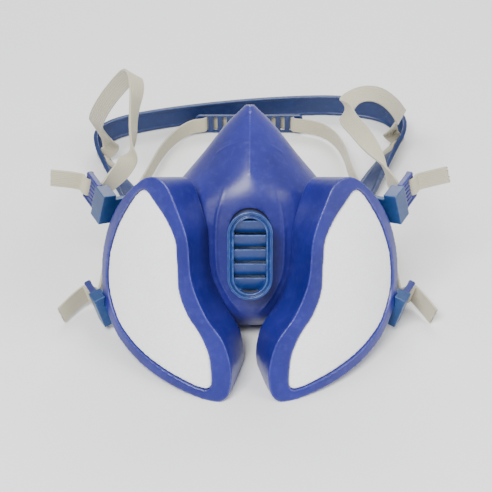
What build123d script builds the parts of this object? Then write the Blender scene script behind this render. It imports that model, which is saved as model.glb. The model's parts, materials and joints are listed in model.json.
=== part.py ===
from build123d import *
import os
from math import cos, radians, sin, sqrt

os.makedirs("parts", exist_ok=True)

# Half-mask respirator standing on a table: the mask leans back on its two filter tips and its chin, and
# the harness lies behind it. Millimetres and degrees, +Z up, the wearer's side towards +Y.
# The mask is drawn in its own upright frame: x to the right, "forward" away from the face seal, "height" up.

# ---- driving dimensions ----
mask_lean = 25.0
mask_shift_y = -80.3
front_y = -132.9
mask_shift_z = -27.17

# The filters and the cheeks of the facepiece share one upright axis behind the face seal.
axis_behind_seal = 24.0
filter_front_radius = 88.0
filter_back_radius = 61.2
filter_wall = 2.2
cup_radius = 60.6
cup_wall = 2.6
seal_lip = 1.8
seal_overrun = 1.0
outline_near = 14.0
# The pods' lower inner walls lean in towards each other behind: how far at outline_near, and where.
flare_reach = 14.0
flare_height = 27.0
flare_span = 34.0
flare_limit = 30.0
# Their tops slope down behind: how far as a share of the flare, and from what height.
drop_share = 0.85
drop_height = 92.0
drop_span = 22.0

grille_thickness = 2.0
bed_radius = 66.5
prefilter_back_radius = 82.0
prefilter_front_radius = 86.6
media_gap = 0.25

inhale_angle = 40.0
inhale_height = 70.0
inhale_tube_radius = 11.0
inhale_flap_radius = 11.6
flap_thickness = 0.6
inhale_travel = 1.2

valve_height = 73.5
valve_width = 22.6
valve_length = 45.0
valve_tube_width = 20.6
valve_tube_length = 42.6
boss_front = 47.5
valve_seat_face = 37.6
valve_flange = 29.6
louvres = 5
louvre_pitch = 7.3
louvre_slope = 65.0
louvre_depth = 7.4
flange_radius = 54.2
peg_radius = 1.5

strap_width = 10.4
strap_thickness = 1.2
buckle_width = 15.4
buckle_length = 16.4
buckle_thickness = 2.8
buckle_neck_width = 13.8
buckle_slots = (5.6, 10.8)
buckle_slot_length = 3.0
buckle_slot_width = 11.2
trunnion_radius = 1.6
trunnion_clearance = 0.06
trunnion_length = 16.4

bracket_width = 17.8
bracket_length = 7.5
bracket_front = 2.2
bracket_thickness = 7.2
bracket_foot_width = 12.0
bracket_reach = 12.0
fork_width = 14.3
fork_depth = 4.6
fork_height = 4.9

band_width = 14.0
band_thickness = 1.8
cradle_middle = 205.0
slot_width = 2.6
clasp_behind = 246.0
clasp_length = 32.0
clasp_height = 13.0
clasp_thickness = 2.0
clasp_neck = 3.0
clasp_slots = 3
clasp_slot_pitch = 6.0
barb_width = 7.0

# the strap's centre in the buckle: distance out from the pin, distance off the buckle's middle plane
buckle_lacing = [
    (7.1, -2.6), (7.1, 1.1), (7.9, 2.2), (11.5, 2.2), (12.3, 1.1), (12.3, -1.1), (13.1, -2.2), (16.4, -2.2),
    (17.6, -1.2), (17.8, 0.6),
]

mask_frame = Location((0, mask_shift_y, mask_shift_z), (-mask_lean, 0, 0))


# ---- frames ----
def mask_vector(x, forward, height):
    """A point of the mask's own frame, on the table."""
    return (mask_frame * Location((x, -forward, height))).position


def mask_direction(x, forward, height):
    """A direction of the mask's own frame, on the table."""
    return (mask_vector(x, forward, height) - mask_vector(0, 0, 0)).normalized()


def mask_plane(x, forward, height, x_dir, z_dir):
    return Plane(mask_vector(x, forward, height), x_dir=mask_direction(*x_dir), z_dir=mask_direction(*z_dir))


def front_plane(forward):
    """Sketches on it are (x, height) and extrude towards the front."""
    return mask_plane(0, forward, 0, (1, 0, 0), (0, 1, 0))


def level_plane(height):
    """Sketches on it are (x, forward) and extrude downwards."""
    return mask_plane(0, 0, height, (1, 0, 0), (0, 0, -1))


def radial_plane(side, angle, height, radius):
    """A plane facing straight out from the filter axis."""
    turn = radians(angle)
    x = side * radius * sin(turn)
    forward = radius * cos(turn) - axis_behind_seal
    across = (cos(turn), -side * sin(turn), 0)
    outward = (side * sin(turn), cos(turn), 0)
    return mask_plane(x, forward, height, across, outward)


# ---- shapes that several pieces share ----
def fan_wire(points, side, reach, scale, flare=0.0):
    """A smooth outline drawn on the filters' front, carried along the radii to a flat wire at this reach."""
    moved = []
    for x, height in points:
        shrunk_x = window_middle[0] + (x - window_middle[0]) * scale
        shrunk_height = window_middle[1] + (height - window_middle[1]) * scale
        spread = shrunk_x / sqrt(filter_front_radius**2 - shrunk_x**2)
        nearness = max(0.0, 1 - abs(height - flare_height) / flare_span)
        inwards = flare * nearness if x < flare_limit else 0.0
        drop = drop_share * flare * max(0.0, (height - drop_height) / drop_span)
        moved_x = side * (reach * spread - inwards)
        moved.append(mask_vector(moved_x, reach - axis_behind_seal, shrunk_height - drop))
    count = len(moved)
    slopes = [(moved[(index + 1) % count] - moved[index - 1]).normalized() for index in range(count)]
    edges = []
    for index in range(count):
        after = (index + 1) % count
        ends = [moved[index], moved[after]]
        edges.append(Edge.make_spline(ends, tangents=[slopes[index], slopes[after]]))
    return Wire(edges)


def fan_block(points, side, scale=1.0, flare=0.0):
    """The outline's block, narrowing along the radii towards the filter axis."""
    near = fan_wire(points, side, outline_near, scale, flare)
    far = fan_wire(points, side, filter_front_radius + 6, scale)
    return Solid.make_loft([near, far], ruled=True)


def axis_shell(inner, outer):
    """A tube round the filter axis, as tall as the mask."""
    with BuildPart(mode=Mode.PRIVATE) as shell:
        with BuildSketch(level_plane(150)):
            with Locations((0, -axis_behind_seal)):
                Circle(outer)
                Circle(inner, mode=Mode.SUBTRACT)
        extrude(amount=160)
    return shell.part


def above(height):
    """Everything over a height from the table."""
    with BuildPart(mode=Mode.PRIVATE) as block:
        with BuildSketch(Plane.XY.offset(height)):
            Rectangle(400, 400)
        extrude(amount=200)
    return block.part


filter_points = [
    (18, 1.2), (30, 4), (45, 9.5), (62, 19.5), (73, 32), (78, 47), (78, 62), (74.5, 80), (66, 100),
    (56, 113.5), (49, 117), (42, 113.5), (36.5, 101), (31, 84), (29, 63), (23, 46), (14.5, 33),
    (10.5, 20), (10.3, 9), (12.8, 3),
]
window_points = [
    (23, 7.2), (35, 11), (48.5, 17), (61, 25), (70.5, 36), (75, 52), (74, 67), (70, 81), (63, 95),
    (56.5, 104.5), (52.5, 106.5), (49, 103), (42, 93.5), (37.3, 83), (36.4, 72), (35.6, 57),
    (31.5, 45.5), (25.3, 36), (21, 26), (19.6, 15), (20, 8.8),
]
window_middle = (50, 58)

cup_slices = [
    (30, 21, 24, 1.9),
    (36, 32, 31, 2.1),
    (44, 41, 35, 2.2),
    (56, 48, 35.5, 2.3),
    (74, 50, 35.5, 2.3),
    (92, 44, 35.5, 2.2),
    (106, 35, 34, 1.8),
    (118, 25, 28, 1.5),
    (130, 15.5, 19.5, 1.5),
    (138.5, 7.5, 11.5, 1.5),
    (143.5, 2.4, 6, 1.6),
]
ridge_slices = [
    (33, 2.5, 31, 2.0),
    (39, 6, 36, 2.0),
    (46, 10, 41.5, 2.4),
    (53, 14.5, 46, 3.0),
    (61, 17.6, boss_front, 4.0),
    (87, 18.2, boss_front, 4.0),
    (98, 19.5, 45, 3.0),
    (108, 20, 38.5, 2.4),
    (120, 16.5, 30, 1.9),
    (132, 10, 20, 1.7),
    (140, 3.5, 12, 1.8),
]


def slice_sketch(height, half_width, front, power, inset):
    """A level slice of the facepiece: a superellipse in front, and a straight back behind the face seal."""
    points = []
    for step in range(13):
        turn = radians(step * 15.0)
        x = abs(cos(turn)) ** (2 / power) * (half_width - inset)
        x = x if cos(turn) >= 0 else -x
        points.append((x, sin(turn) ** (2 / power) * (front - inset) if 0 < step < 12 else -seal_overrun))
    with BuildSketch(level_plane(height), mode=Mode.PRIVATE) as outline:
        with BuildLine():
            Spline(*points)
            Line(points[-1], points[0])
        make_face()
    return outline.sketch


def facepiece_block(slices, inset):
    """The facepiece's outside, or its hollow where it is inset."""
    last = len(slices) - 1
    sketches = []
    for index, (height, half_width, front, power) in enumerate(slices):
        if index == 0:
            height += inset
        if index == last:
            height -= inset
        sketches.append(slice_sketch(height, half_width, front, power, inset))
    return Solid.make_loft([outline.wire() for outline in sketches])


def ribbon(stations, width, thickness):
    """A strap or band through stations, each a point and the direction of its width."""
    points = [Vector(*point) for point, across in stations]
    faces = []
    for index, (point, across) in enumerate(stations):
        before = points[max(index - 1, 0)]
        after = points[min(index + 1, len(points) - 1)]
        along_in = (points[index] - before).normalized() if index else Vector(0, 0, 0)
        along_out = (after - points[index]).normalized() if index < len(points) - 1 else Vector(0, 0, 0)
        along = (along_in + along_out).normalized()
        side = Vector(*across)
        side = (side - along * side.dot(along)).normalized()
        with BuildSketch(Plane(points[index], x_dir=side, z_dir=along), mode=Mode.PRIVATE) as section:
            Rectangle(width, thickness)
        faces.append(section.sketch)
    return Solid.make_loft([face.wire() for face in faces], ruled=True)


# ---- facepiece ----
cheek_limit = axis_shell(0.01, cup_radius)
hollow_limit = axis_shell(0.01, cup_radius - cup_wall)
with BuildPart() as ahead_of_lip:
    with BuildSketch(front_plane(seal_lip)):
        Rectangle(300, 500)
    extrude(amount=100)
face_hollow = facepiece_block(cup_slices[:-1], cup_wall) & hollow_limit & ahead_of_lip.part

with BuildPart() as ahead_of_seal:
    with BuildSketch(front_plane(0)):
        Rectangle(300, 500)
    extrude(amount=100)

with BuildPart() as facepiece:
    add(facepiece_block(cup_slices, 0))
    add(cheek_limit, mode=Mode.INTERSECT)
    add(facepiece_block(ridge_slices, 0))
    add(ahead_of_seal.part, mode=Mode.INTERSECT)
    add(face_hollow, mode=Mode.SUBTRACT)
    with BuildSketch(front_plane(-1)):
        with BuildLine():
            Spline((0, 40), (24, 45), (41, 62), (43, 76), (30, 100), (11, 127), (0, 132), (-11, 127),
                   (-30, 100), (-43, 76), (-41, 62), (-24, 45), periodic=True)
        make_face()
    extrude(amount=seal_lip + 1.2, mode=Mode.SUBTRACT)
    with BuildSketch(front_plane(20)):
        with Locations((0, valve_height)):
            SlotOverall(valve_tube_length + 0.3, valve_tube_width + 0.3, rotation=90)
    extrude(amount=40, mode=Mode.SUBTRACT)
    for side in (-1, 1):
        with BuildSketch(radial_plane(side, inhale_angle, inhale_height, cup_radius - 12)):
            Circle(inhale_tube_radius + 0.05)
        extrude(amount=20, mode=Mode.SUBTRACT)
facepiece.part.label = "facepiece"
export_step(facepiece.part, "parts/facepiece.step")


# ---- filter pods, one set each side ----
def filter_block(side):
    """A pod's outside, flattened underneath where it stands on the table."""
    outside = fan_block(filter_points, side, flare=flare_reach)
    return outside & axis_shell(filter_back_radius, filter_front_radius) & above(0)


def filter_layer(side, inner, outer, scale, floor):
    """What fills the pod's window between two radii."""
    return fan_block(window_points, side, scale) & axis_shell(inner, outer) & above(floor)


layer_floor = filter_wall + media_gap
for side, hand in ((-1, "left"), (1, "right")):
    pod_outside = filter_block(side)
    inhale_plane = radial_plane(side, inhale_angle, inhale_height, 0)

    with BuildPart() as filter_housing:
        add(pod_outside)
        cavity_back = filter_back_radius + filter_wall
        cavity = filter_layer(side, cavity_back, filter_front_radius + 3, 1.0, filter_wall)
        add(cavity, mode=Mode.SUBTRACT)
        with BuildSketch(inhale_plane.offset(filter_back_radius - 8)):
            Circle(inhale_tube_radius + 0.05)
        extrude(amount=12, mode=Mode.SUBTRACT)
    filter_housing.part.label = "filter_housing_" + hand
    export_step(filter_housing.part, "parts/filter_housing_" + hand + ".step")

    with BuildPart() as prefilter:
        add(filter_layer(side, prefilter_back_radius, prefilter_front_radius, 0.99, layer_floor))
    prefilter.part.label = "prefilter_" + hand
    export_step(prefilter.part, "parts/prefilter_" + hand + ".step")

    with BuildPart() as carbon_bed:
        add(filter_layer(side, bed_radius, prefilter_back_radius - media_gap, 0.985, layer_floor))
    carbon_bed.part.label = "carbon_bed_" + hand
    export_step(carbon_bed.part, "parts/carbon_bed_" + hand + ".step")

    with BuildPart() as bed_grille:
        grille_outer = bed_radius - media_gap
        add(filter_layer(side, grille_outer - grille_thickness, grille_outer, 0.985, layer_floor))
        opened = fan_block(window_points, side, 0.9)
        for row in range(9):
            with BuildPart(mode=Mode.PRIVATE) as slab:
                with BuildSketch(level_plane(26 + 8 * row)):
                    Rectangle(300, 300)
                extrude(amount=4.5)
            add(opened & slab.part, mode=Mode.SUBTRACT)
    bed_grille.part.label = "bed_grille_" + hand
    export_step(bed_grille.part, "parts/bed_grille_" + hand + ".step")

    with BuildPart() as inhale_seat:
        with BuildSketch(inhale_plane.offset(flange_radius)):
            Circle(inhale_tube_radius + 1.6)
            Circle(inhale_tube_radius - 2.2, mode=Mode.SUBTRACT)
        extrude(amount=1.4)
        with BuildSketch(inhale_plane.offset(flange_radius)):
            Circle(inhale_tube_radius)
            Circle(inhale_tube_radius - 2.2, mode=Mode.SUBTRACT)
        extrude(amount=filter_back_radius + 1.0 - flange_radius)
        with BuildSketch(inhale_plane.offset(flange_radius)):
            Circle(3.4)
            with PolarLocations(0, 2):
                Rectangle(2 * inhale_tube_radius - 3, 1.6)
            with PolarLocations(0, 2, start_angle=90):
                Rectangle(2 * inhale_tube_radius - 3, 1.6)
        extrude(amount=2)
        with BuildSketch(inhale_plane.offset(flange_radius - flap_thickness - inhale_travel - 0.1)):
            Circle(peg_radius)
        extrude(amount=flap_thickness + inhale_travel + 1)
        with BuildSketch(inhale_plane.offset(flange_radius - flap_thickness - inhale_travel - 1.2)):
            Circle(2.8)
        extrude(amount=1.1)
    inhale_seat.part.label = "inhale_seat_" + hand
    export_step(inhale_seat.part, "parts/inhale_seat_" + hand + ".step")

    with BuildPart() as inhale_flap:
        with BuildSketch(inhale_plane.offset(flange_radius - flap_thickness - 0.03)):
            Circle(inhale_flap_radius)
            Circle(peg_radius + 0.08, mode=Mode.SUBTRACT)
        extrude(amount=flap_thickness)
    inhale_flap.part.label = "inhale_flap_" + hand
    export_step(inhale_flap.part, "parts/inhale_flap_" + hand + ".step")


# ---- exhalation valve ----
def valve_slot(length, width):
    with Locations((0, valve_height)):
        SlotOverall(length, width, rotation=90)


with BuildPart() as exhale_seat:
    with BuildSketch(front_plane(valve_flange)):
        valve_slot(valve_tube_length + 4, valve_tube_width + 4)
        with Locations((0, valve_height)):
            SlotOverall(valve_tube_length - 9, valve_tube_width - 7, rotation=90, mode=Mode.SUBTRACT)
    extrude(amount=1.3)
    with BuildSketch(front_plane(valve_flange)):
        valve_slot(valve_tube_length, valve_tube_width)
        with Locations((0, valve_height)):
            SlotOverall(valve_tube_length - 9, valve_tube_width - 7, rotation=90, mode=Mode.SUBTRACT)
    extrude(amount=valve_seat_face - valve_flange)
    with BuildSketch(front_plane(valve_seat_face - 2)):
        with Locations((0, valve_height)):
            Rectangle(1.6, valve_tube_length - 8)
        with GridLocations(0, 10, 1, 3):
            with Locations((0, valve_height)):
                Rectangle(valve_tube_width - 6, 1.6)
    extrude(amount=2)
    with BuildSketch(front_plane(valve_seat_face)):
        valve_slot(valve_tube_length, valve_tube_width)
        with Locations((0, valve_height)):
            SlotOverall(valve_tube_length - 3, valve_tube_width - 3, rotation=90, mode=Mode.SUBTRACT)
    extrude(amount=2.4)
exhale_seat.part.label = "exhale_seat"
export_step(exhale_seat.part, "parts/exhale_seat.step")

with BuildPart() as exhale_flap:
    with BuildSketch(front_plane(valve_seat_face + 0.05)):
        valve_slot(valve_tube_length - 5, valve_tube_width - 4.4)
    extrude(amount=flap_thickness)
exhale_flap.part.label = "exhale_flap"
export_step(exhale_flap.part, "parts/exhale_flap.step")

with BuildPart() as valve_cover:
    with BuildSketch(front_plane(valve_seat_face + 2.5)):
        valve_slot(valve_tube_length, valve_tube_width)
        with Locations((0, valve_height)):
            SlotOverall(valve_tube_length - 3.2, valve_tube_width - 3.2, rotation=90, mode=Mode.SUBTRACT)
    extrude(amount=boss_front + 0.5 - valve_seat_face - 2.5)
    with BuildSketch(front_plane(boss_front + 0.5)):
        valve_slot(valve_length, valve_width)
        with Locations((0, valve_height)):
            SlotOverall(valve_length - 6.4, valve_width - 6.4, rotation=90, mode=Mode.SUBTRACT)
    extrude(amount=2.6)
    with BuildSketch(front_plane(boss_front + 2.0)):
        valve_slot(valve_length - 2.6, valve_width - 2.6)
        with Locations((0, valve_height)):
            SlotOverall(valve_length - 4.6, valve_width - 4.6, rotation=90, mode=Mode.SUBTRACT)
    extrude(amount=2, mode=Mode.SUBTRACT)
    with BuildPart(mode=Mode.PRIVATE) as guard:
        for row in range(louvres):
            centre = valve_height + (row - (louvres - 1) / 2) * louvre_pitch
            along_louvre = (0, sin(radians(90 - louvre_slope)), cos(radians(90 - louvre_slope)))
            start = (-valve_width / 2, boss_front - 0.4, centre)
            with BuildSketch(mask_plane(*start, along_louvre, (1, 0, 0))):
                Rectangle(louvre_depth, 1.1)
            extrude(amount=valve_width)
        with BuildSketch(front_plane(valve_seat_face)):
            valve_slot(valve_tube_length - 1, valve_tube_width - 1)
        extrude(amount=20, mode=Mode.INTERSECT)
    add(guard.part)
valve_cover.part.label = "valve_cover"
export_step(valve_cover.part, "parts/valve_cover.step")


# ---- strap brackets, buckles and straps ----
def corner_frame(side, corner):
    """The buckle's hinge point, and its outward, pin and face directions."""
    hinge, out, pin = corner
    origin = mask_vector(side * hinge[0], hinge[1], hinge[2])
    out_dir = mask_direction(side * out[0], out[1], out[2])
    pin_dir = mask_direction(side * pin[0], pin[1], pin[2])
    pin_dir = (pin_dir - out_dir * pin_dir.dot(out_dir)).normalized()
    face_dir = out_dir.cross(pin_dir).normalized()
    if face_dir.X * side < 0:
        face_dir = face_dir * -1
    return origin, out_dir, pin_dir, face_dir


def corner_box(frame, out_range, width, thickness, face_middle=0):
    """A box in a corner's frame: along out, along the pin and along the face direction."""
    origin, out_dir, pin_dir, face_dir = frame
    start = origin + out_dir * out_range[0] + face_dir * face_middle
    with BuildPart(mode=Mode.PRIVATE) as box:
        with BuildSketch(Plane(start, x_dir=pin_dir, z_dir=out_dir)):
            Rectangle(width, thickness)
        extrude(amount=out_range[1] - out_range[0])
    return box.part


def corner_foot(frame):
    """The bracket's foot, from behind its box in towards the facepiece's side."""
    depth = bracket_reach - bracket_thickness / 2 + 0.2
    middle = -bracket_reach + depth / 2
    return corner_box(frame, (-bracket_length, -fork_depth - 0.2), bracket_foot_width, depth, middle)


def corner_pin(frame, radius, length):
    """A round bar along the pin, centred on the hinge point."""
    origin, out_dir, pin_dir, face_dir = frame
    with BuildPart(mode=Mode.PRIVATE) as pin:
        with BuildSketch(Plane(origin - pin_dir * length / 2, x_dir=out_dir, z_dir=pin_dir)):
            Circle(radius)
        extrude(amount=length)
    return pin.part


def lacing(frame):
    """The strap's way through the buckle's two slots, from the main run to the tail."""
    origin, out_dir, pin_dir, face_dir = frame
    stations = []
    for out, face in buckle_lacing:
        stations.append((origin + out_dir * out + face_dir * face, pin_dir))
    return stations


corners = {
    "upper": ((77.0, 20.0, 95.5), (0.5, -0.72, 0.455), (-0.23, 0.40, 0.886)),
    "lower": ((79.4, 12.0, 37.5), (0.42, -0.88, 0.22), (0.27, 0.345, 0.90)),
}
for side, hand in ((-1, "left"), (1, "right")):
    pod_clear = fan_block(filter_points, side, 1.008, flare_reach)
    pod_clear = pod_clear & axis_shell(filter_back_radius - 0.3, filter_front_radius + 0.3)
    for level in ("upper", "lower"):
        frame = corner_frame(side, corners[level])

        with BuildPart() as bracket:
            add(corner_box(frame, (-bracket_length, bracket_front), bracket_width, bracket_thickness))
            fork = corner_box(frame, (-fork_depth, bracket_front + 1), fork_width, fork_height)
            add(fork, mode=Mode.SUBTRACT)
            bore = corner_pin(frame, trunnion_radius + trunnion_clearance, trunnion_length + 0.2)
            add(bore, mode=Mode.SUBTRACT)
            add(corner_foot(frame))
            add(pod_clear, mode=Mode.SUBTRACT)
        bracket.part.label = "bracket_" + level + "_" + hand
        export_step(bracket.part, "parts/bracket_" + level + "_" + hand + ".step")

        with BuildPart() as buckle:
            add(corner_box(frame, (-1.9, 4), buckle_neck_width, buckle_thickness))
            add(corner_pin(frame, trunnion_radius, trunnion_length))
            add(corner_box(frame, (3.8, buckle_length), buckle_width, buckle_thickness))
            for start in buckle_slots:
                slot_range = (start, start + buckle_slot_length)
                slot = corner_box(frame, slot_range, buckle_slot_width, buckle_thickness + 1)
                add(slot, mode=Mode.SUBTRACT)
        buckle.part.label = "buckle_" + level + "_" + hand
        export_step(buckle.part, "parts/buckle_" + level + "_" + hand + ".step")


# ---- crown cradle and the two-part neck clasp ----
def table_point(x, behind, z):
    """A point given by its distance behind the mask's front."""
    return Vector(x, behind + front_y, z)


def band_stations(route):
    """The cradle band's stations: each leans outwards by its angle and rests on the table."""
    stations = []
    for index, (x, behind, lean) in enumerate(route):
        before = route[max(index - 1, 0)]
        after = route[min(index + 1, len(route) - 1)]
        along = Vector(after[0] - before[0], after[1] - before[1], 0).normalized()
        outward = Vector(along.Y, -along.X, 0)
        if outward.dot(Vector(x, behind - cradle_middle, 0)) < 0:
            outward = outward * -1
        across = outward * sin(radians(lean)) + Vector(0, 0, cos(radians(lean)))
        rise = band_width / 2 * cos(radians(lean)) + band_thickness / 2 * sin(radians(lean))
        stations.append((table_point(x, behind, rise), across))
    return stations


def along_band(stations, index, share, off):
    """A point part of the way to the next station, off the band's outer face, and the band's width there."""
    start, across = stations[index]
    end, next_across = stations[index + 1]
    width_dir = (across * (1 - share) + next_across * share).normalized()
    along = (end - start).normalized()
    face = along.cross(width_dir).normalized()
    if face.Z > 0:
        face = face * -1
    return start * (1 - share) + end * share + face * off, width_dir, along, face


cradle_routes = {
    "left": [(0, 264, 0), (-30, 258.5, 0), (-58, 251.5, 0), (-84, 242, 4), (-97, 229, 14), (-94, 213, 28),
             (-86, 195, 42), (-76, 176, 60), (-65, 157, 84), (-50, 146, 90), (-25, 141.5, 90), (0, 141, 90)],
    "right": [(0, 264, 0), (30, 267.5, 0), (60, 268.5, 0), (87, 262, 4), (99, 248, 14), (98, 231, 28),
              (88, 211, 42), (78, 190, 60), (67, 166, 84), (52, 151, 90), (27, 143.5, 90), (0, 141, 90)],
}
cradle_arm = 5
cradle_stations = {hand: band_stations(route) for hand, route in cradle_routes.items()}

with BuildPart() as head_cradle:
    for hand in ("left", "right"):
        add(ribbon(cradle_stations[hand], band_width, band_thickness))
        for share in (0.2, 0.55, 0.9):
            point, width_dir, along, face = along_band(cradle_stations[hand], cradle_arm, share, 0)
            with BuildSketch(Plane(point - face * 4, x_dir=width_dir, z_dir=face)):
                Rectangle(strap_width + 0.8, slot_width)
            extrude(amount=8, mode=Mode.SUBTRACT)
head_cradle.part.label = "head_cradle"
export_step(head_cradle.part, "parts/head_cradle.step")

clasp_plane = Plane(table_point(0, clasp_behind, clasp_height / 2 + 0.5), x_dir=(1, 0, 0), z_dir=(0, -1, 0))


def clasp_outline(side):
    """A ladder plate with its row of strap slots."""
    with Locations((side * (clasp_neck + clasp_length / 2), 0)):
        RectangleRounded(clasp_length, clasp_height, 2.5)
    for slot in range(clasp_slots):
        with Locations((side * (clasp_length / 2 + clasp_slot_pitch * slot), 0)):
            Rectangle(slot_width, strap_width + 0.6, mode=Mode.SUBTRACT)


with BuildPart() as clasp_loop:
    with BuildSketch(clasp_plane.offset(-clasp_thickness / 2)):
        clasp_outline(1)
    extrude(amount=clasp_thickness)
    with BuildSketch(clasp_plane.offset(-2)):
        with Locations((6.6, 0)):
            Rectangle(3.6, barb_width + 1)
    extrude(amount=4, mode=Mode.SUBTRACT)
clasp_loop.part.label = "clasp_loop"
export_step(clasp_loop.part, "parts/clasp_loop.step")

with BuildPart() as clasp_hook:
    with BuildSketch(clasp_plane.offset(-clasp_thickness / 2)):
        clasp_outline(-1)
    extrude(amount=clasp_thickness)
    with BuildSketch(clasp_plane.offset(-clasp_thickness / 2)):
        with Locations((-4.4, 0)):
            Rectangle(2.8, barb_width)
    extrude(amount=4.4)
    with BuildSketch(clasp_plane.offset(1.6)):
        with Locations((1.1, 0)):
            Rectangle(13.8, barb_width)
    extrude(amount=1.8)
    with BuildSketch(clasp_plane.offset(-2.6)):
        with Locations((6.9, 0)):
            Rectangle(2.2, barb_width)
    extrude(amount=5)
clasp_hook.part.label = "clasp_hook"
export_step(clasp_hook.part, "parts/clasp_hook.step")


# ---- straps ----
upright = (0, 0, 1)
# the strap's way through the cradle's first slot: share of the way along the arm, distance off the band
cradle_lacing = [(0.2, -8), (0.2, -2.5), (0.2, 1.0), (0.32, 2.1), (0.6, 2.1), (1.0, 2.0)]
upper_routes = {
    "left": [((-73.5, 90, 71), (0, 0.3, 0.95)), ((-67, 101, 75), (0.1, 0.6, 0.8)),
             ((-64, 114, 81), (0.2, 0.8, -0.5)), ((-64, 128, 89), (0.3, 0.8, -0.5)),
             ((-61, 141, 98), (0.7, 0.5, -0.5)), ((-64, 151, 101), (0.8, 0.0, -0.6)),
             ((-72, 160, 89), (0.76, -0.4, -0.5)), ((-84, 172, 68), (0.76, -0.4, -0.5)),
             ((-93, 190, 44), (0.76, -0.3, -0.5)), ((-94, 206, 30), (0.7, -0.2, -0.6))],
    "right": [((73.5, 90, 71), (0, 0.3, 0.95)), ((69, 106, 75), (0.5, 0.3, 0.8)),
              ((60, 124, 79), (0.8, 0.3, 0.45)), ((53, 139, 79), (0.4, 0.7, 0.5)),
              ((54, 152, 81), (-0.2, 0.8, 0.3)), ((64, 160, 82), (0.1, 0.9, 0.2)),
              ((75, 166, 77), (0.3, 0.8, 0.3)), ((85, 174, 64), (0.4, 0.8, 0.3)),
              ((92, 192, 45), (0.4, 0.5, 0.5)), ((95, 216, 32), (0.4, 0.3, 0.7))],
}
neck_routes = {
    "left": [(-81, 92, 8.4), (-77, 125, 8.8), (-70, 155, 9.8), (-62, 186, 8.6), (-57, 208, 7.6),
             (-51, 224, 7.2), (-43, 237, 7), (-35, 243, 7), (-28, 244.2, 7), (-16, 244.2, 7)],
    "right": [(81, 92, 8.4), (77, 125, 8.8), (69.5, 155, 9.8), (62.5, 187, 8.6), (61, 209, 7.6),
              (56.5, 226, 7.2), (49, 238, 7), (39, 243.4, 7), (30, 244.2, 7), (16, 244.2, 7)],
}
tails = {
    "upper_left": [(-7, 0, 1.5), (-16, 0, 2.5)],
    "upper_right": [(6.5, 0, 2), (15, 0, 4.5)],
    "lower_left": [(-6, -7, -1), (-12, -16, -2.5)],
    "lower_right": [(4.5, -7.5, -1), (9.5, -17, -2.5)],
}

for side, hand in ((-1, "left"), (1, "right")):
    for level, name in (("upper", "upper_strap_"), ("lower", "neck_strap_")):
        frame = corner_frame(side, corners[level])
        laced = lacing(frame)
        end = laced[-1][0]
        tail = [(end + Vector(*step), frame[2]) for step in tails[level + "_" + hand]]
        if level == "upper":
            run = [(table_point(*point), across) for point, across in upper_routes[hand]]
            for share, off in cradle_lacing:
                point, width_dir, along, face = along_band(cradle_stations[hand], cradle_arm, share, off)
                run.append((point, width_dir))
        else:
            run = [(table_point(*point), upright) for point in neck_routes[hand]]
        with BuildPart() as strap:
            add(ribbon(list(reversed(tail)) + list(reversed(laced)) + run, strap_width, strap_thickness))
        strap.part.label = name + hand
        export_step(strap.part, "parts/" + name + hand + ".step")
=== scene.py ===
import json
import math

import bpy
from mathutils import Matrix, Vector


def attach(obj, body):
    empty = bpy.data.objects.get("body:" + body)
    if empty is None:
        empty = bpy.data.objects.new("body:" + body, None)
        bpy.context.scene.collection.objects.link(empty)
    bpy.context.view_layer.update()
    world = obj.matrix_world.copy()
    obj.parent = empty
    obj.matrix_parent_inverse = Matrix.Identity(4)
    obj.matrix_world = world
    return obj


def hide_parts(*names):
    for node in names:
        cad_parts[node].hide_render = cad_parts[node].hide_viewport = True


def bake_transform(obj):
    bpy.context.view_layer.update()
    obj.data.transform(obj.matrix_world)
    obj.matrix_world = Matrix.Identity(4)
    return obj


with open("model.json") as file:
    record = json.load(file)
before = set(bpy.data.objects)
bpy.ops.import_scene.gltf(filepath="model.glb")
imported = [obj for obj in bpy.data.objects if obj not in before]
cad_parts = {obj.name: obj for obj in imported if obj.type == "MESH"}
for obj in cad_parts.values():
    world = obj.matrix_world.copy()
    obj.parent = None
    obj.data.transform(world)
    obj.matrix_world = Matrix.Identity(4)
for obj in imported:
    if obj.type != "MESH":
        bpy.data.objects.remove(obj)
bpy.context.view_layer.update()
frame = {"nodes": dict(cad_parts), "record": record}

MM = 0.001

# The mask's own upright frame, leant back on the table: the same numbers as the CAD model's, in millimetres.
LEAN = math.radians(25.0)
SHIFT_Y, SHIFT_Z, FRONT_Y = -80.3, -27.17, -132.9
STRAP_WIDTH, STRAP_THICKNESS = 10.4, 1.2
BAND_WIDTH, BAND_THICKNESS = 14.0, 1.8
HANDS = (("left", -1), ("right", 1))


def mask_direction(x, forward, height):
    y = -forward * math.cos(LEAN) + height * math.sin(LEAN)
    z = forward * math.sin(LEAN) + height * math.cos(LEAN)
    return Vector((x, y, z)).normalized()


def mask_point(x, forward, height):
    y = SHIFT_Y - forward * math.cos(LEAN) + height * math.sin(LEAN)
    z = SHIFT_Z + forward * math.sin(LEAN) + height * math.cos(LEAN)
    return Vector((x, y, z))


def table_point(x, behind, z):
    return Vector((x, behind + FRONT_Y, z))


# ---------------------------------------------------------------- meshes
def new_object(name, vertices, faces, smooth=True):
    """A mesh object from points in millimetres."""
    mesh = bpy.data.meshes.new(name)
    mesh.from_pydata([tuple(Vector(v) * MM) for v in vertices], [], faces)
    mesh.validate()
    mesh.polygons.foreach_set("use_smooth", [smooth] * len(mesh.polygons))
    obj = bpy.data.objects.new(name, mesh)
    bpy.context.scene.collection.objects.link(obj)
    return obj


def baked(obj):
    """The object with its modifiers applied."""
    graph = bpy.context.evaluated_depsgraph_get()
    mesh = bpy.data.meshes.new_from_object(obj.evaluated_get(graph))
    old = obj.data
    obj.modifiers.clear()
    obj.data = mesh
    bpy.data.meshes.remove(old)
    return obj


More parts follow.
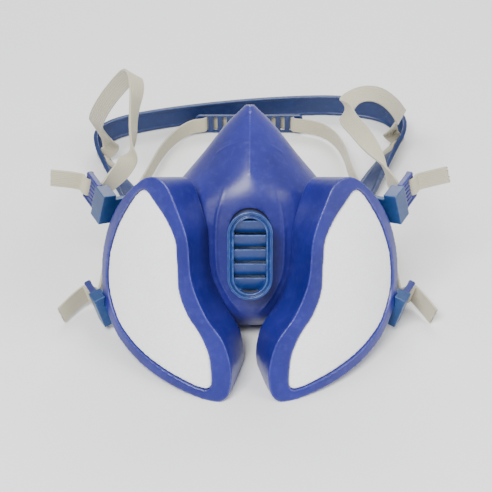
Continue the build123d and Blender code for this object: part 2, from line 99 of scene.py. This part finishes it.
def moulded(name, nodes, voxel, rounds, extras=(), swell=0.0):
    """One moulded piece: CAD solids and extra shapes melted together, with every edge rounded."""
    vertices, faces = [], []
    sources = [frame["nodes"][n].data for n in nodes] + [o.data for o in extras]
    for data in sources:
        start = len(vertices)
        vertices += [v.co / MM for v in data.vertices]
        faces += [tuple(start + i for i in p.vertices) for p in data.polygons]
    obj = new_object(name, vertices, faces)
    weld = obj.modifiers.new("weld", "WELD")
    weld.merge_threshold = 1e-6
    melt = obj.modifiers.new("melt", "REMESH")
    melt.mode = "VOXEL"
    melt.voxel_size = voxel * MM
    melt.use_smooth_shade = True
    ease = obj.modifiers.new("ease", "SMOOTH")
    ease.factor = 0.5
    ease.iterations = rounds
    if swell:
        grow = obj.modifiers.new("grow", "DISPLACE")
        grow.strength = swell * MM
        grow.mid_level = 0.0
    baked(obj)
    obj.data.polygons.foreach_set("use_smooth", [True] * len(obj.data.polygons))
    for extra in extras:
        bpy.data.objects.remove(extra)
    if nodes:
        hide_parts(*nodes)
    return obj


def rounded_route(stations, step, reach=30.0):
    """Points and width directions along stations, each corner eased by a curve that starts halfway to it."""
    points = [Vector(p) for p, _ in stations]
    sides = [Vector(s).normalized() for _, s in stations]
    out = [(points[0], sides[0])]

    def add_line(a, b, sa, sb):
        count = max(1, int((b - a).length / step))
        for k in range(1, count + 1):
            t = k / count
            out.append((a.lerp(b, t), sa.lerp(sb, t)))

    here, here_side = points[0], sides[0]
    for i in range(1, len(points) - 1):
        before, corner, after = points[i - 1], points[i], points[i + 1]
        cut_in = min((corner - before).length * 0.5, reach)
        cut_out = min((after - corner).length * 0.5, reach)
        t_in = 1 - cut_in / (corner - before).length
        t_out = cut_out / (after - corner).length
        enter, leave = before.lerp(corner, t_in), corner.lerp(after, t_out)
        side_in, side_out = sides[i - 1].lerp(sides[i], t_in), sides[i].lerp(sides[i + 1], t_out)
        if (enter - here).length > 1e-6:
            add_line(here, enter, here_side, side_in)
        count = max(4, int((cut_in + cut_out) / step))
        for k in range(1, count + 1):
            t = k / count
            point = enter * (1 - t) ** 2 + corner * 2 * t * (1 - t) + leave * t**2
            side = side_in * (1 - t) ** 2 + sides[i] * 2 * t * (1 - t) + side_out * t**2
            out.append((point, side))
        here, here_side = leave, side_out
    add_line(here, points[-1], here_side, sides[-1])
    return out


def route_frames(route):
    """(point, side, normal, distance along) at each point of a route."""
    frames, run = [], 0.0
    for i, (point, side) in enumerate(route):
        before = route[max(i - 1, 0)][0]
        after = route[min(i + 1, len(route) - 1)][0]
        tangent = (after - before).normalized()
        across = (side - tangent * side.dot(tangent)).normalized()
        if i:
            run += (point - before).length
        frames.append((point, across, tangent.cross(across).normalized(), run))
    return frames


def swept(name, frames, profile):
    """A closed bar with this profile of (across, off) points along the frames."""
    vertices, faces, uvs = [], [], []
    count = len(profile)
    for point, across, normal, run in frames:
        for u, v in profile:
            vertices.append(point + across * u + normal * v)
            uvs.append((run * MM, u * MM))
    for i in range(len(frames) - 1):
        for k in range(count):
            a, b = i * count + k, i * count + (k + 1) % count
            faces.append((a, b, b + count, a + count))
    faces.append(tuple(reversed(range(count))))
    last = (len(frames) - 1) * count
    faces.append(tuple(last + k for k in range(count)))
    obj = new_object(name, vertices, faces)
    layer = obj.data.uv_layers.new(name="lengthwise")
    for loop in obj.data.loops:
        layer.data[loop.index].uv = uvs[loop.vertex_index]
    return obj


def bar_profile(width, thickness):
    w, t = width / 2, thickness / 2
    return [(-w, -t), (w, -t), (w, t), (-w, t)]


def webbing_profile(width, thickness, ribs=9, rib_height=0.1):
    """Knitted elastic: rounded selvedges and shallow lengthwise ribs on both faces."""
    steps = ribs * 6
    top = []
    for k in range(steps + 1):
        u = -1 + 2 * k / steps
        edge = min(1.0, (1 - abs(u)) / 0.07)
        lift = thickness / 2 * math.sqrt(max(edge * (2 - edge), 0.0)) * 0.92
        rib = rib_height * math.cos(math.pi * ribs * u) * edge
        top.append((u * width / 2, lift + rib + 0.02))
    return top + [(u, -v) for u, v in reversed(top)]


# ---------------------------------------------------------------- materials
class Nodes:
    """A small helper that adds nodes to a material and links them."""

    def __init__(self, name):
        self.material = bpy.data.materials.new(name)
        self.material.use_nodes = True
        self.tree = self.material.node_tree
        self.shader = self.tree.nodes["Principled BSDF"]

    def add(self, kind, inputs=None, **settings):
        node = self.tree.nodes.new(kind)
        for key, value in settings.items():
            setattr(node, key, value)
        for key, value in (inputs or {}).items():
            if isinstance(value, bpy.types.NodeSocket):
                self.tree.links.new(value, node.inputs[key])
            else:
                node.inputs[key].default_value = value
        return node

    def place(self):
        return self.add("ShaderNodeTexCoord").outputs["Object"]

    def noise(self, vector, scale, detail=4.0, rough=0.55):
        inputs = {"Vector": vector, "Scale": scale, "Detail": detail, "Roughness": rough}
        return self.add("ShaderNodeTexNoise", inputs).outputs["Fac"]

    def ramp(self, value, low, high):
        node = self.add("ShaderNodeMapRange", {"Value": value, "From Min": low, "From Max": high})
        return node.outputs["Result"]

    def span(self, value, low, high):
        node = self.add("ShaderNodeMapRange", {"Value": value, "To Min": low, "To Max": high})
        return node.outputs["Result"]

    def maths(self, operation, a, b=0.0):
        return self.add("ShaderNodeMath", {0: a, 1: b}, operation=operation).outputs[0]

    def mix(self, share, a, b):
        node = self.add("ShaderNodeMix", {"Factor": share}, data_type="RGBA")
        for socket, value in ((6, a), (7, b)):
            if isinstance(value, bpy.types.NodeSocket):
                self.tree.links.new(value, node.inputs[socket])
            else:
                node.inputs[socket].default_value = (*value, 1.0)
        return node.outputs[2]

    def bump(self, height, distance, strength=1.0, normal=None):
        inputs = {"Height": height, "Distance": distance, "Strength": strength}
        if normal is not None:
            inputs["Normal"] = normal
        return self.add("ShaderNodeBump", inputs).outputs["Normal"]

    def finish(self, colour, roughness, normal, **plain):
        self.tree.links.new(colour, self.shader.inputs["Base Color"])
        self.tree.links.new(roughness, self.shader.inputs["Roughness"])
        self.tree.links.new(normal, self.shader.inputs["Normal"])
        for key, value in plain.items():
            self.shader.inputs[key].default_value = value
        return self.material


def linear(r, g, b):
    """An sRGB colour, 0 to 255, as the shader's linear numbers."""
    return tuple(((c / 255 + 0.055) / 1.055) ** 2.4 if c > 10 else c / 3295 for c in (r, g, b))


def moulded_plastic(name, colour, deep, pale, rough=(0.34, 0.5), grain=0.00006, edge_wear_and_highlight=0.5,
                    sheen=0.0, coat=0.0):
    """Moulded plastic or soft rubber: cloudy colour, fine grain, pale sharp edges (partly rubbed wear,
    partly a painted highlight) and hairline scuffs.
    """
    m = Nodes(name)
    place = m.place()
    cloud = m.noise(place, 34.0, 5.0)
    base = m.mix(m.ramp(cloud, 0.35, 0.7), deep, colour)
    mottled = m.noise(place, 260.0, 6.0, 0.65)
    base = m.mix(m.maths("MULTIPLY", m.ramp(mottled, 0.5, 0.78), 0.16), base, pale)
    # Paler colour on sharp convex edges: partly rubbed wear, partly a painted highlight along the rims.
    edge = m.ramp(m.add("ShaderNodeNewGeometry").outputs["Pointiness"], 0.512, 0.56)
    worn_and_highlit_edges = m.maths("MULTIPLY", edge, m.ramp(m.noise(place, 420.0, 3.0), 0.3, 0.62))
    base = m.mix(m.maths("MULTIPLY", worn_and_highlit_edges, edge_wear_and_highlight), base, pale)
    streaks = {"Vector": place, "Rotation": (0.4, 0.7, 0.9), "Scale": (1.0, 14.0, 1.0)}
    stretched = m.add("ShaderNodeMapping", streaks)
    hair = m.noise(stretched.outputs[0], 150.0, 3.0, 0.5)
    scuff = m.maths("MULTIPLY", m.ramp(hair, 0.66, 0.74), m.ramp(cloud, 0.45, 0.65))
    base = m.mix(m.maths("MULTIPLY", scuff, 0.12), base, pale)
    roughness = m.span(m.noise(place, 90.0, 6.0), rough[0], rough[1])
    roughness = m.maths("ADD", roughness, m.maths("MULTIPLY", scuff, 0.12))
    grain_height = m.noise(place, 2600.0, 2.0, 0.5)
    soft = m.bump(m.noise(place, 120.0, 3.0), 0.00022, 0.35)
    normal = m.bump(grain_height, grain, 0.6, soft)
    gloss = {"Sheen Weight": sheen, "Coat Weight": coat, "Coat Roughness": 0.25}
    return m.finish(base, roughness, normal, **gloss)


def fleece(name):
    """Bonded fleece: short fibres every way, a faint quilted emboss, slightly grey painted shade in the
    hollows between the fibres, and faint grey soiling.
    """
    m = Nodes(name)
    place = m.place()
    heights = []
    for turn in (0.2, 1.2, 2.3):
        turned = {"Vector": place, "Rotation": (turn, turn * 0.7, turn * 1.3), "Scale": (1.0, 9.0, 1.0)}
        lay = m.add("ShaderNodeMapping", turned)
        heights.append(m.ramp(m.noise(lay.outputs[0], 620.0, 2.0, 0.6), 0.42, 0.72))
    fibres = m.maths("MAXIMUM", m.maths("MAXIMUM", heights[0], heights[1]), heights[2])
    dots = m.add("ShaderNodeTexVoronoi", {"Vector": place, "Scale": 640.0, "Randomness": 0.25})
    emboss = m.ramp(dots.outputs["Distance"], 0.1, 0.42)
    # Darker where the fibres sit low: painted shade in the hollows between the fibres.
    shade = m.mix(m.span(fibres, 0.0, 1.0), linear(234, 235, 235), linear(254, 254, 252))
    soiled = m.maths("MULTIPLY", m.ramp(m.noise(place, 45.0, 4.0), 0.5, 0.8), 0.22)
    shade = m.mix(soiled, shade, linear(216, 217, 212))
    roughness = m.span(fibres, 0.98, 0.82)
    lumps = m.bump(m.noise(place, 150.0, 4.0), 0.0006, 0.5)
    quilt = m.bump(emboss, 0.00016, 0.35, lumps)
    normal = m.bump(fibres, 0.0002, 0.7, quilt)
    return m.finish(shade, roughness, normal, **{"Sheen Weight": 0.35, "Sheen Roughness": 0.5})


def woven(name, light, dark):
    """Knitted elastic webbing: lengthwise ribs crossed by fine picks, with a soft nap."""
    m = Nodes(name)
    along = m.add("ShaderNodeUVMap", uv_map="lengthwise").outputs["UV"]
    parts = m.add("ShaderNodeSeparateXYZ", {"Vector": along})
    picks = m.maths("SINE", m.maths("MULTIPLY", parts.outputs["X"], 2 * math.pi / 0.00062))
    ribs = m.maths("SINE", m.maths("MULTIPLY", parts.outputs["Y"], 2 * math.pi / 0.00116))
    stitch = m.maths("MULTIPLY", picks, ribs)
    place = m.place()
    nap = m.noise(place, 1900.0, 3.0, 0.7)
    cloud = m.noise(place, 60.0, 4.0)
    # Darker where the stitch pattern dips: painted shade in the weave's low points, with random variation
    # from the nap.
    depth = m.maths("ADD", m.span(stitch, 0.15, 0.85), m.maths("MULTIPLY", nap, 0.5))
    colour = m.mix(m.ramp(depth, 0.2, 1.1), dark, light)
    colour = m.mix(m.maths("MULTIPLY", m.ramp(cloud, 0.5, 0.8), 0.35), colour, linear(176, 166, 142))
    roughness = m.span(nap, 0.78, 0.96)
    ribbed = m.bump(m.span(stitch, 0.0, 1.0), 0.00014, 0.8)
    normal = m.bump(nap, 0.00018, 0.6, ribbed)
    return m.finish(colour, roughness, normal, **{"Sheen Weight": 0.4, "Sheen Roughness": 0.45})


def granules(name):
    """Activated carbon: packed matt grains."""
    m = Nodes(name)
    grain = m.add("ShaderNodeTexVoronoi", {"Vector": m.place(), "Scale": 1100.0})
    # Darker towards each grain's border: painted shade between the grains.
    shade = m.mix(m.ramp(grain.outputs["Distance"], 0.0, 0.6), linear(58, 58, 62), linear(16, 16, 18))
    roughness = m.span(m.noise(m.place(), 900.0), 0.5, 0.9)
    return m.finish(shade, roughness, m.bump(grain.outputs["Distance"], 0.0005, 0.9))


body_blue = moulded_plastic(
    "soft_blue_rubber", linear(36, 38, 126), linear(26, 28, 102), linear(86, 92, 174),
    rough=(0.26, 0.42), grain=0.00008, edge_wear_and_highlight=0.6, sheen=0.05)
pod_blue = moulded_plastic(
    "pod_blue_plastic", linear(34, 37, 124), linear(24, 27, 102), linear(88, 95, 178),
    rough=(0.25, 0.36), grain=0.00007, edge_wear_and_highlight=0.65, sheen=0.0)
teal = moulded_plastic(
    "teal_plastic", linear(22, 60, 112), linear(16, 48, 92), linear(78, 122, 166),
    rough=(0.3, 0.46), edge_wear_and_highlight=0.6)
violet = moulded_plastic(
    "buckle_violet_plastic", linear(36, 44, 118), linear(26, 32, 96), linear(92, 100, 168),
    rough=(0.3, 0.46), edge_wear_and_highlight=0.55)
valve_teal = moulded_plastic(
    "valve_teal_plastic", linear(18, 48, 112), linear(12, 36, 90), linear(84, 124, 184),
    rough=(0.24, 0.4), edge_wear_and_highlight=0.7, coat=0.15)
navy = moulded_plastic(
    "cradle_navy_plastic", linear(20, 42, 92), linear(14, 30, 72), linear(70, 98, 148),
    rough=(0.32, 0.5), edge_wear_and_highlight=0.6)
dark_seat = moulded_plastic(
    "dark_seat_plastic", linear(34, 36, 44), linear(24, 26, 32), linear(88, 90, 98),
    rough=(0.4, 0.6), edge_wear_and_highlight=0.3)
flap_rubber = moulded_plastic(
    "flap_rubber", linear(206, 200, 178), linear(190, 182, 158), linear(228, 224, 208),
    rough=(0.5, 0.7), edge_wear_and_highlight=0.2, sheen=0.2)
grille_grey = moulded_plastic(
    "grille_plastic", linear(122, 124, 130), linear(104, 106, 112), linear(170, 172, 176),
    rough=(0.45, 0.6), edge_wear_and_highlight=0.3)
white_fleece = fleece("white_fleece")
cream_webbing = woven("cream_webbing", linear(212, 206, 182), linear(152, 145, 121))
carbon = granules("carbon_granules")


def dress(obj, material, body="mask"):
    obj.data.materials.clear()
    obj.data.materials.append(material)
    if body:
        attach(obj, body)
    return obj


for node, material in (
    ("carbon_bed_left", carbon), ("carbon_bed_right", carbon),
    ("bed_grille_left", grille_grey), ("bed_grille_right", grille_grey),
    ("inhale_flap_left", flap_rubber), ("inhale_flap_right", flap_rubber), ("exhale_flap", flap_rubber),
):
    frame["nodes"][node].data.materials.clear()
    frame["nodes"][node].data.materials.append(material)

# ---------------------------------------------------------------- mask
fine = 1.0

facepiece = frame["nodes"]["facepiece"]


def on_face(x, height):
    """The facepiece's front surface at this place, seen square from the front."""
    start, ahead = mask_point(x, 90, height) * MM, mask_direction(0, -1, 0)
    hit, place, normal, _ = facepiece.ray_cast(start, ahead)
    return (place / MM, normal) if hit else (None, None)


def bead(path, radius, sunk=0.0, fade=0):
    """A raised line on the facepiece's front through (x, height) places, fading out at its ends."""
    points = [on_face(x, height) for x, height in path]
    points = [(p, n) for p, n in points if p is not None]
    stations = []
    for index, (p, n) in enumerate(points):
        ending = max(0.0, 1 - min(index, len(points) - 1 - index) / fade) if fade else 0.0
        depth = sunk + (radius - sunk) * ending
        stations.append((p - n * depth, n.cross(Vector((0.3, 0.2, 1.0))).normalized()))
    frames = route_frames(stations)
    ring = [(radius * math.cos(k * math.pi / 4), radius * math.sin(k * math.pi / 4)) for k in range(8)]
    return swept("bead", frames, ring)


BOSS_EDGE = [(12.6, 106), (14.8, 98), (16.8, 90), (17.4, 81), (17.4, 70), (16.8, 61), (14.0, 54),
             (9.8, 46.5), (5.4, 40), (1.6, 36)]
BOSS_RIDGE_RADIUS, BOSS_RIDGE_SUNK, BOSS_RIDGE_FADE = 0.95, 0.25, 10


def boss_edge(side):
    """The centre boss's side edge, from above the valve down to the keel."""
    eased = rounded_route([((x, height, 0), (0, 0, 1)) for x, height in BOSS_EDGE], 1.2)
    path = [(side * p.x, p.y) for p, _ in eased]
    return bead(path, BOSS_RIDGE_RADIUS, BOSS_RIDGE_SUNK, BOSS_RIDGE_FADE)


seam = bead([(0.0, 112.0 + 1.5 * k) for k in range(20)], 0.42)
crease = bead([(-17.0 + 1.7 * k, 127.0 - 7.0 * (-1 + k / 10.0) ** 2) for k in range(21)], 0.36)
face = moulded("face_body", ["facepiece"], 0.55 * fine, 7, [seam, crease, boss_edge(-1), boss_edge(1)])
dress(face, body_blue)

for hand, side in HANDS:
    pod = moulded("filter_pod_" + hand, ["filter_housing_" + hand], 0.55 * fine, 8)
    dress(pod, pod_blue)
    pad = moulded("prefilter_pad_" + hand, ["prefilter_" + hand], 0.6 * fine, 9, swell=0.42)
    dress(pad, white_fleece)
    seat = moulded("inhale_port_" + hand, ["inhale_seat_" + hand], 0.3 * fine, 3)
    dress(seat, dark_seat)

dress(moulded("exhale_port", ["exhale_seat"], 0.32 * fine, 3), dark_seat)
dress(moulded("valve_guard", ["valve_cover"], 0.26 * fine, 4), valve_teal)

# ---------------------------------------------------------------- brackets and buckles
CORNERS = {
    "upper": ((0.5, -0.72, 0.455), (-0.23, 0.40, 0.886)),
    "lower": ((0.42, -0.88, 0.22), (0.27, 0.345, 0.90)),
}
joints = {j["name"]: j for j in frame["record"]["behaviour"]["joints"]}


def corner_frame(level, hand, side):
    """The buckle's hinge point and its outward, pin and face directions."""
    out, pin = CORNERS[level]
    origin = Vector(joints["buckle_" + level + "_" + hand + "_swivel"]["pos_m"]) / MM
    out_dir = mask_direction(side * out[0], out[1], out[2])
    pin_dir = mask_direction(side * pin[0], pin[1], pin[2])
    pin_dir = (pin_dir - out_dir * pin_dir.dot(out_dir)).normalized()
    face_dir = out_dir.cross(pin_dir).normalized()
    if face_dir.x * side < 0:
        face_dir = -face_dir
    return origin, out_dir, pin_dir, face_dir


def corner_bar(corner, start, end, pin_at, face_at, width, thickness):
    """A straight bar from start to end along out, at a place along the pin and off the plate."""
    origin, out_dir, pin_dir, face_dir = corner
    points = [origin + out_dir * t + pin_dir * pin_at + face_dir * face_at for t in (start, end)]
    return swept("bar", route_frames([(p, pin_dir) for p in points]), bar_profile(width, thickness))


def cross_bar(corner, out_at, face_at, half, width, thickness):
    """A bar along the pin, across the plate."""
    origin, out_dir, pin_dir, face_dir = corner
    points = [origin + out_dir * out_at + pin_dir * p + face_dir * face_at for p in (-half, half)]
    return swept("bar", route_frames([(p, out_dir) for p in points]), bar_profile(width, thickness))


RIDGE_PITCH = 2.3
for hand, side in HANDS:
    for level in ("upper", "lower"):
        corner = corner_frame(level, hand, side)
        name = level + "_" + hand
        bracket = moulded("strap_bracket_" + name, ["bracket_" + name], 0.25 * fine, 4)
        dress(bracket, teal)
        ridges = [corner_bar(corner, 4.4, 15.9, p, 1.6, 1.0, 0.8) for p in (-6.9, 6.9)]
        ridges += [corner_bar(corner, 4.4, 10.9, step * RIDGE_PITCH, 0.5, 1.7, 2.6) for step in range(-2, 3)]
        ridges += [cross_bar(corner, 4.7, 1.3, 7.4, 1.0, 1.4), cross_bar(corner, 15.6, -1.3, 7.4, 1.2, 1.2)]
        buckle = moulded("ladder_buckle_" + name, ["buckle_" + name], 0.22 * fine, 3, ridges)
        dress(buckle, violet, "buckle_" + name)

# ---------------------------------------------------------------- straps
# (outward, off the plate) places where the webbing laces a buckle, and each tail's steps from the last one.
BUCKLE_LACING = [(7.1, -3.2), (9.8, -2.5), (11.5, -1.8), (12.3, 0.0), (13.1, 1.8), (14.8, 2.5),
                 (16.8, 2.5), (18.2, 2.2)]
TAILS = {
    "upper_left": [(-7, 0, 1.5), (-16, 0, 2.5)],
    "upper_right": [(6.5, 0, 2), (15, 0, 4.5)],
    "lower_left": [(-6, -7, -1), (-12, -16, -2.5)],
    "lower_right": [(4.5, -7.5, -1), (9.5, -17, -2.5)],
}
FRAYS = {"upper_left": 0.5, "upper_right": 1.3, "lower_left": 0.4, "lower_right": 0.4}
# (share of the band's arm, off the band) places where an upper strap laces the cradle.
CRADLE_LACING = [(0.2, -8), (0.2, -2.5), (0.2, 1.0), (0.27, 2.0), (0.48, 2.0), (0.55, 1.0), (0.55, -1.0),
                 (0.62, -2.0), (0.83, -2.0), (0.9, -1.0), (0.9, 1.0), (0.96, 1.9), (1.02, 1.9)]
CRADLE_MIDDLE, CRADLE_ARM = 205.0, 5
# (x, distance behind the front, outward lean in degrees) of the band, from the back to the front.
CRADLE_ROUTES = {
    "left": [(0, 264, 0), (-30, 258.5, 0), (-58, 251.5, 0), (-84, 242, 4), (-97, 229, 14), (-94, 213, 28),
             (-86, 195, 42), (-76, 176, 60), (-65, 157, 84), (-50, 146, 90), (-25, 141.5, 90), (0, 141, 90)],
    "right": [(0, 264, 0), (30, 267.5, 0), (60, 268.5, 0), (87, 262, 4), (99, 248, 14), (98, 231, 28),
              (88, 211, 42), (78, 190, 60), (67, 166, 84), (52, 151, 90), (27, 143.5, 90), (0, 141, 90)],
}
# (x, distance behind the front, height) of each upper strap, with the way that its width points.
UPPER_ROUTES = {
    "left": [((-73, 90.5, 69.5), (0, 0.4, 0.9)), ((-66, 100, 72), (0, 0.75, 0.65)),
             ((-62.5, 112, 79), (0.1, 0.95, 0.1)), ((-63, 127, 89), (0.25, 0.85, -0.45)),
             ((-61, 141, 98), (0.7, 0.5, -0.5)), ((-64, 151, 101), (0.8, 0.0, -0.6)),
             ((-72, 160, 89), (0.76, -0.4, -0.5)), ((-84, 172, 68), (0.76, -0.4, -0.5)),
             ((-93, 190, 44), (0.76, -0.3, -0.5)), ((-94, 206, 30), (0.7, -0.2, -0.6))],
    "right": [((73.5, 90, 71), (0, 0.3, 0.95)), ((69.5, 104, 74), (0.35, 0.85, -0.3)),
              ((60, 124, 79), (0.8, 0.3, 0.45)), ((53, 139, 79), (0.4, 0.7, 0.5)),
              ((54, 152, 81), (-0.2, 0.8, 0.3)), ((64, 160, 82), (0.1, 0.9, 0.2)),
              ((75, 166, 77), (0.3, 0.8, 0.3)), ((85, 174, 64), (0.4, 0.8, 0.3)),
              ((92, 192, 45), (0.4, 0.5, 0.5)), ((95, 216, 32), (0.4, 0.3, 0.7))],
}
UPRIGHT = Vector((0, 0, 1))
# The left neck strap's two pieces meet this far behind the front, and at least this far from the tail's end.
JOIN_BEHIND, PAST_BUCKLE = 160, 60
NECK_ROUTES = {
    "left": [(-81, 92, 8.4), (-77, 125, 8.8), (-70, 155, 9.8), (-62, 186, 8.6), (-57, 208, 7.6),
             (-51, 224, 7.2), (-43, 237, 7), (-36.5, 242.6, 7), (-31, 243.6, 7), (-28.6, 244.6, 7),
             (-27.4, 247.6, 7), (-24.5, 248.4, 7), (-14, 248.4, 7)],
    "right": [(81, 92, 8.4), (77, 125, 8.8), (69.5, 155, 9.8), (62.5, 187, 8.6), (61, 209, 7.6),
              (56.5, 226, 7.2), (49, 237.5, 7), (39, 242.6, 7), (31, 243.6, 7), (28.6, 244.6, 7),
              (27.4, 247.6, 7), (24.5, 248.4, 7), (14, 248.4, 7)],
}


def band_stations(route):
    """The cradle band's stations, each leaning outwards by its angle and resting on the table."""
    stations = []
    for index, (x, behind, lean) in enumerate(route):
        before, after = route[max(index - 1, 0)], route[min(index + 1, len(route) - 1)]
        along = Vector((after[0] - before[0], after[1] - before[1], 0)).normalized()
        outward = Vector((along.y, -along.x, 0))
        if outward.dot(Vector((x, behind - CRADLE_MIDDLE, 0))) < 0:
            outward = -outward
        turn = math.radians(lean)
        across = outward * math.sin(turn) + UPRIGHT * math.cos(turn)
        rise = BAND_WIDTH / 2 * math.cos(turn) + BAND_THICKNESS / 2 * math.sin(turn)
        stations.append((table_point(x, behind, rise), across))
    return stations


def along_band(stations, index, share, off):
    start, across = stations[index]
    end, next_across = stations[index + 1]
    width_dir = (across * (1 - share) + next_across * share).normalized()
    face = (end - start).normalized().cross(width_dir).normalized()
    if face.z > 0:
        face = -face
    return start * (1 - share) + end * share + face * off, width_dir


band = {hand: band_stations(route) for hand, route in CRADLE_ROUTES.items()}


def lifted(point, across, normal, run):
    """The webbing's station, raised where it would sink into the table."""
    lowest = point.z - abs(across.z) * STRAP_WIDTH / 2 - abs(normal.z) * STRAP_THICKNESS * 0.7
    return point + Vector((0, 0, max(0.0, 0.15 - lowest))), across, normal, run


def strap_piece(name, frames, frayed=0.0):
    """A length of webbing; its cut end may be frayed."""
    profile = webbing_profile(STRAP_WIDTH, STRAP_THICKNESS)
    frames = [lifted(*entry) for entry in frames]
    strap = swept(name, frames, profile)
    if frayed:
        tip, second = frames[0][0], frames[1][0]
        out = (tip - second).normalized()
        for k, (u, v) in enumerate(profile):
            tuft = 0.5 + 0.5 * math.sin(u * 5.3 + 1.0) * math.cos(u * 2.1)
            strap.data.vertices[k].co += out * (frayed * tuft + 0.25 * math.sin(u * 17.0)) * MM
    strap.data.materials.append(cream_webbing)
    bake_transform(strap)
    return strap


for hand, side in HANDS:
    for level in ("upper", "lower"):
        corner = corner_frame(level, hand, side)
        origin, out_dir, pin_dir, face_dir = corner
        laced = [(origin + out_dir * out + face_dir * face_off, pin_dir) for out, face_off in BUCKLE_LACING]
        tail = [(laced[-1][0] + Vector(step), pin_dir) for step in TAILS[level + "_" + hand]]
        if level == "upper":
            run = [(table_point(*point), Vector(across)) for point, across in UPPER_ROUTES[hand]]
            run += [along_band(band[hand], CRADLE_ARM, share, off) for share, off in CRADLE_LACING]
        else:
            run = [(table_point(*point), UPRIGHT) for point in NECK_ROUTES[hand]]
        stations = list(reversed(tail)) + list(reversed(laced)) + run
        fixed = []
        for point, across in stations:
            if fixed and Vector(across).dot(fixed[-1][1]) < 0:
                across = -Vector(across)
            fixed.append((point, Vector(across)))
        frames = route_frames(rounded_route(fixed, 0.8 * fine))
        node = ("upper_strap_" if level == "upper" else "neck_strap_") + hand
        if node != "neck_strap_left":
            piece = strap_piece("webbing_" + level + "_" + hand, frames,
                                FRAYS[level + "_" + hand])
            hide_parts(node)
        else:
            past_buckle = [i for i, entry in enumerate(frames) if entry[3] >= PAST_BUCKLE]
            join = min(past_buckle, key=lambda i: abs(frames[i][0].y - (JOIN_BEHIND + FRONT_Y)))
            front = strap_piece("webbing_lower_left_front", frames[: join + 1],
                                FRAYS[level + "_" + hand])
            rear = strap_piece("webbing_lower_left_rear", frames[join:])
            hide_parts(node)
            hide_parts(node)

# ---------------------------------------------------------------- cradle and clasp
RAIL_CLEARANCE = 0.6
ring = band["left"][::-1] + band["right"][1:]
ring = [(point + UPRIGHT * RAIL_CLEARANCE, across) for point, across in ring]
ring_frames = route_frames(rounded_route(ring, 1.0 * fine))
SLOT_SHARES, SLOT_HALF = (0.2, 0.55, 0.9), 1.7
slot_marks = [along_band(band[hand], CRADLE_ARM, share, 0)[0] for hand, _ in HANDS for share in SLOT_SHARES]


def near_slot(point, reach):
    return any((point - mark).length < reach for mark in slot_marks)


cradle_parts = []
for off in (-1, 1):
    rail = [(u + off * (BAND_WIDTH / 2 - 0.75), v) for u, v in bar_profile(1.5, 3.0)]
    cradle_parts.append(swept("rail", ring_frames, rail))
web_run = []
for entry in ring_frames + [None]:
    if entry is not None and not near_slot(entry[0], SLOT_HALF):
        web_run.append(entry)
    else:
        if len(web_run) > 1:
            cradle_parts.append(swept("web", web_run, bar_profile(BAND_WIDTH - 1, BAND_THICKNESS)))
        web_run = []
cradle = moulded("cradle_band", [], 0.36 * fine, 4, cradle_parts)
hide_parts("head_cradle")
dress(cradle, navy)
dress(moulded("neck_clasp_loop", ["clasp_loop"], 0.24 * fine, 3), navy)
dress(moulded("neck_clasp_hook", ["clasp_hook"], 0.24 * fine, 3), navy, "clasp_hook")

# ---------------------------------------------------------------- studio
floor_corners = [(-3000, -2500, 0), (3000, -2500, 0), (3000, 4000, 0), (-3000, 4000, 0)]
floor = new_object("floor", floor_corners, [(0, 1, 2, 3)])
floor.location.z = -0.00005
paper = Nodes("pale_paper")
tone = paper.mix(paper.noise(paper.place(), 3.0), linear(226, 226, 224), linear(232, 232, 230))
floor.data.materials.append(paper.finish(tone, paper.span(paper.noise(paper.place(), 40.0), 0.7, 0.8),
                                         paper.bump(paper.noise(paper.place(), 900.0), 0.0001, 0.2)))


def soft_light(name, place, aim, size, watts):
    data = bpy.data.lights.new(name, "AREA")
    data.shape = "RECTANGLE"
    data.size, data.size_y, data.energy = size[0], size[1], watts
    light = bpy.data.objects.new(name, data)
    light.location = place
    light.rotation_euler = (Vector(aim) - Vector(place)).to_track_quat("-Z", "Y").to_euler()
    bpy.context.scene.collection.objects.link(light)


soft_light("key", (-0.35, -0.75, 1.1), (0, -0.03, 0.04), (0.7, 0.5), 29.0)
soft_light("fill", (0.9, -0.5, 0.6), (0, -0.03, 0.04), (0.6, 0.6), 8.0)
soft_light("back", (0.1, 0.9, 0.8), (0, 0.0, 0.05), (0.8, 0.4), 10.5)
world = bpy.data.worlds.new("studio")
bpy.context.scene.world = world
world.use_nodes = True
world.node_tree.nodes["Background"].inputs["Color"].default_value = (0.9, 0.93, 1.0, 1.0)
world.node_tree.nodes["Background"].inputs["Strength"].default_value = 0.6

camera_data = bpy.data.cameras.new("camera")
camera_data.lens = 90.7
camera_data.sensor_width = 36.0
camera = bpy.data.objects.new("camera", camera_data)
camera.location = Vector((-2.0, -577.7, 444.6)) * MM
aim = Vector((-2.0, -89.1, 62.9)) * MM
camera.rotation_euler = (aim - camera.location).to_track_quat("-Z", "Y").to_euler()
bpy.context.scene.collection.objects.link(camera)
bpy.context.scene.camera = camera
